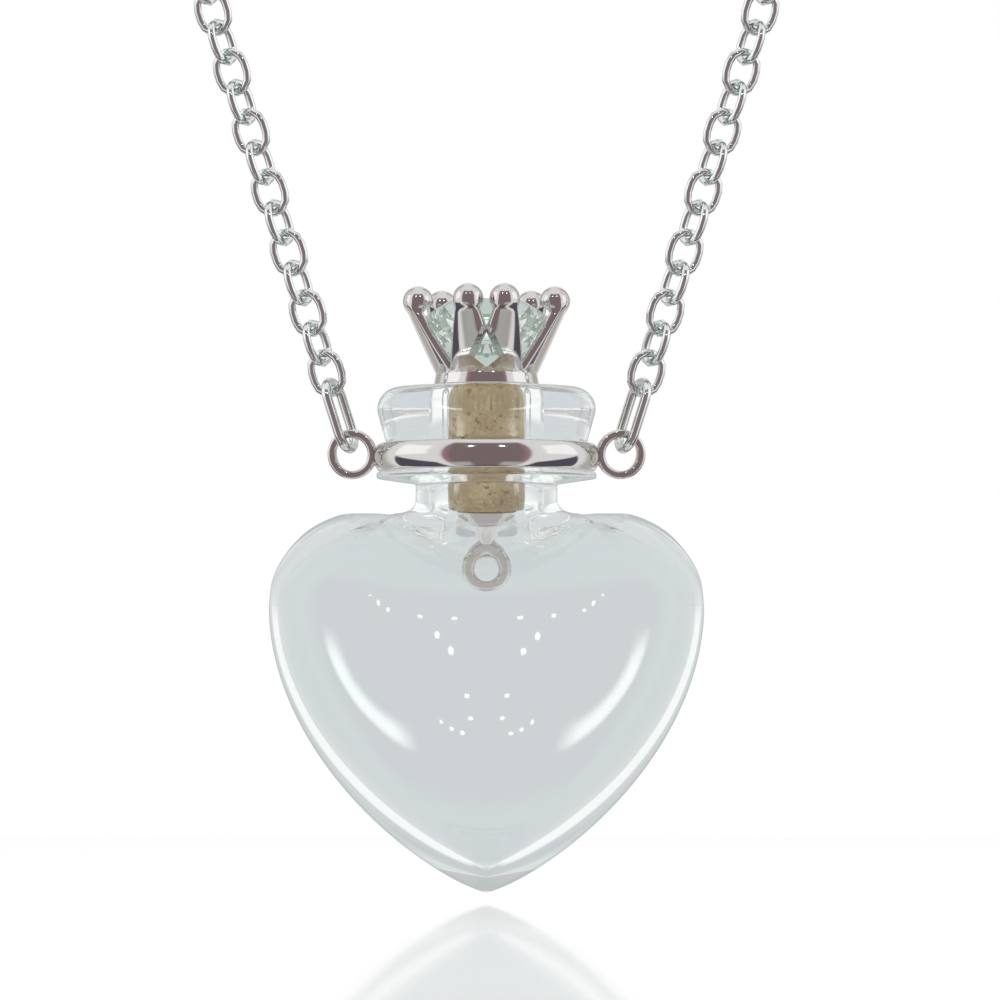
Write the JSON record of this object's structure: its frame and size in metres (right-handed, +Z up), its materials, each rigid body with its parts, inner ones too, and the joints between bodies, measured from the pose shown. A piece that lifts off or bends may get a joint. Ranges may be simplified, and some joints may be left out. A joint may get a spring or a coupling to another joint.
{
  "type": "bottle pendant necklace",
  "caption": "Heart-shaped hollow glass bottle pendant with a crown stopper in its neck, hung by a metal ring's eyelets on a closed cable chain.",
  "frame": {"origin": "the nape: middle of the closed clasp at the back of the chain's loop", "axes": "+Z up, -Y to the wearer's front, where the pendant hangs, +X to the wearer's left"},
  "size_m": [0.1064, 0.0882, 0.1567],
  "materials": {
    "glass": "clear fire-polished glass",
    "polished_steel": "mirror polished",
    "cork": "raw natural cork",
    "crystal": "faceted and polished"
  },
  "bodies": {
    "chain": {"chain_left": "polished_steel", "chain_right": "polished_steel", "end_link_left": "polished_steel", "end_link_right": "polished_steel", "clasp": "polished_steel"},
    "pendant": {"bottle": "glass", "neck_ring": "polished_steel"},
    "stopper": {"cork": "cork", "crown": "polished_steel", "crystal": "crystal", "eye_pin": "polished_steel"}
  },
  "joints": [
    {"name": "pendant_swing", "type": "hinge", "parent": "chain", "child": "pendant", "pos_m": [0, -0.08, -0.12781], "axis": [1, 0, 0], "range_deg": [-30, 30]},
    {"name": "stopper_pull", "type": "slide", "parent": "pendant", "child": "stopper", "axis": [0, 0, 1], "range_m": [0, 0.0125]}
  ]
}
